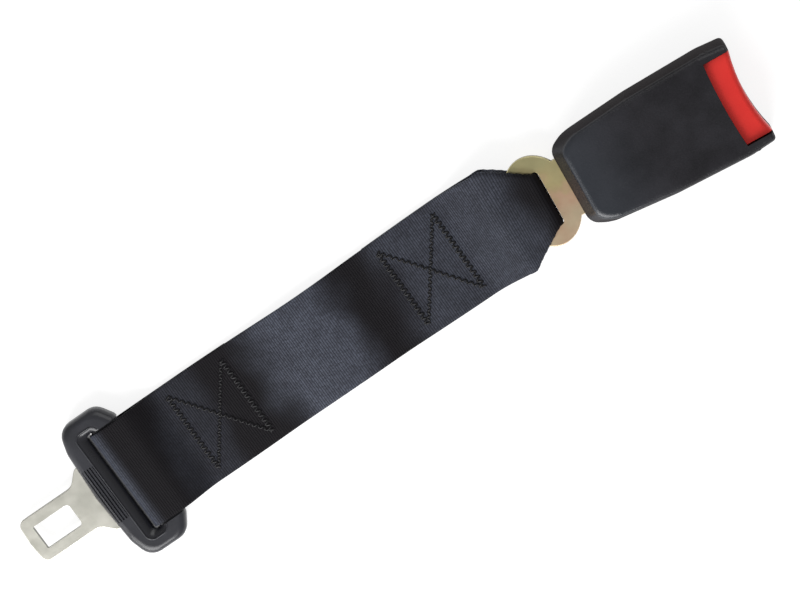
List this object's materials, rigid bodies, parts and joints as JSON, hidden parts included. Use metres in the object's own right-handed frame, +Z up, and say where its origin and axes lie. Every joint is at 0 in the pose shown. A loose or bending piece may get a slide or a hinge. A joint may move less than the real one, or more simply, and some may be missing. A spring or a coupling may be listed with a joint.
{
  "type": "seat belt extender",
  "caption": "Short sewn seat belt webbing with a steel latch tongue at one end and a push-button buckle on a plated anchor plate at the other, lying flat.",
  "frame": {"origin": "on the underside of the tongue's cover, on the strap's centreline, halfway between the cover's front edge and its slot", "axes": "+X along the strap from the tongue towards the buckle, +Y across it, +Z up from the surface it lies on"},
  "size_m": [0.3648, 0.0691, 0.022],
  "materials": {
    "webbing": "tight woven polyester with fine ribs across, slight sheen",
    "nickel_steel": "satin nickel plate",
    "charcoal_plastic": "fine moulded grain, satin",
    "yellow_zinc": "yellow chromated zinc plate, faintly iridescent",
    "slate_plastic": "fine moulded grain",
    "bare_steel": "stamped steel, bright zinc",
    "spring_steel": "drawn wire",
    "natural_plastic": "natural acetal",
    "red_plastic": "semi-gloss"
  },
  "bodies": {
    "buckle": {"anchor_plate": "yellow_zinc", "anchor_rivet_left": "bare_steel", "anchor_rivet_right": "bare_steel", "buckle_frame": "bare_steel", "bottom_cover": "slate_plastic", "top_cover": "slate_plastic", "latch_pin": "spring_steel", "latch_spring": "spring_steel", "ejector_spring": "spring_steel", "button_spring_left": "spring_steel", "button_spring_right": "spring_steel"},
    "button": {"press_button": "red_plastic"},
    "latch": {"latch": "bare_steel"},
    "ejector": {"ejector": "natural_plastic"},
    "strap": {"strap": "webbing"},
    "tongue": {"tongue_blade": "nickel_steel", "tongue_cover": "charcoal_plastic"}
  },
  "joints": [
    {"name": "strap_fold", "type": "hinge", "parent": "buckle", "child": "strap", "pos_m": [0.21846, -0.00118, 0.0082], "axis": [0.0958, 0.9954, 0], "range_deg": [-90, 90], "deforming": ["strap"]},
    {"name": "tongue_fold", "type": "hinge", "parent": "strap", "child": "tongue", "pos_m": [0.01745, 0, 0.0047], "axis": [0, 1, 0], "range_deg": [-90, 90], "deforming": ["strap"]},
    {"name": "button_press", "type": "slide", "parent": "buckle", "child": "button", "axis": [-0.9954, 0.0958, 0], "range_m": [0, 0.006], "stiffness_N_per_m": 900, "springref_m": -0.004, "deforming": ["button_spring_left", "button_spring_right"]},
    {"name": "latch_lift", "type": "hinge", "parent": "buckle", "child": "latch", "pos_m": [0.27067, -0.00621, 0.0134], "axis": [-0.0958, -0.9954, 0], "range_deg": [0, 8.6], "deforming": ["latch_spring"]},
    {"name": "ejector_slide", "type": "slide", "parent": "buckle", "child": "ejector", "axis": [-0.9954, 0.0958, 0], "range_m": [0, 0.006], "stiffness_N_per_m": 250, "springref_m": -0.004, "deforming": ["ejector_spring"]}
  ],
  "couplings": [
    {"joint": "latch_lift", "follows": "button_press", "rad_per_m": 24.726}
  ]
}
